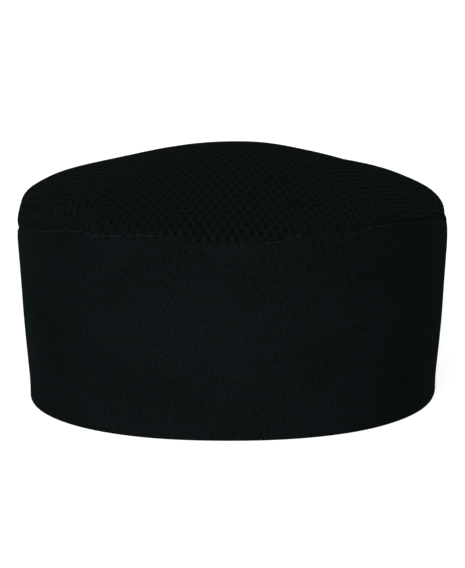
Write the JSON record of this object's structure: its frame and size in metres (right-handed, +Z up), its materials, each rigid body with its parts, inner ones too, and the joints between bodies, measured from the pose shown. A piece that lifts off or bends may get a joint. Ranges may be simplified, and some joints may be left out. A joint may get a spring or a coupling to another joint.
{
  "type": "chef skull cap",
  "caption": "Cook's skull cap with a tall, stiff twill band and a soft knitted mesh crown, open underneath for the head.",
  "frame": {"origin": "the middle of the head opening, on the plane that the hem rests on", "axes": "+Z up from the hem to the crown, -Y towards the forehead, +Y towards the nape, X from side to side"},
  "size_m": [0.1844, 0.2104, 0.1109],
  "materials": {
    "twill": "near-black cotton-blend twill, matt with a faint sheen at grazing angles",
    "mesh": "near-black knitted mesh with small staggered holes, matt with a soft sheen"
  },
  "bodies": {
    "root": {"band": "twill", "crown": "mesh"}
  },
  "joints": []
}
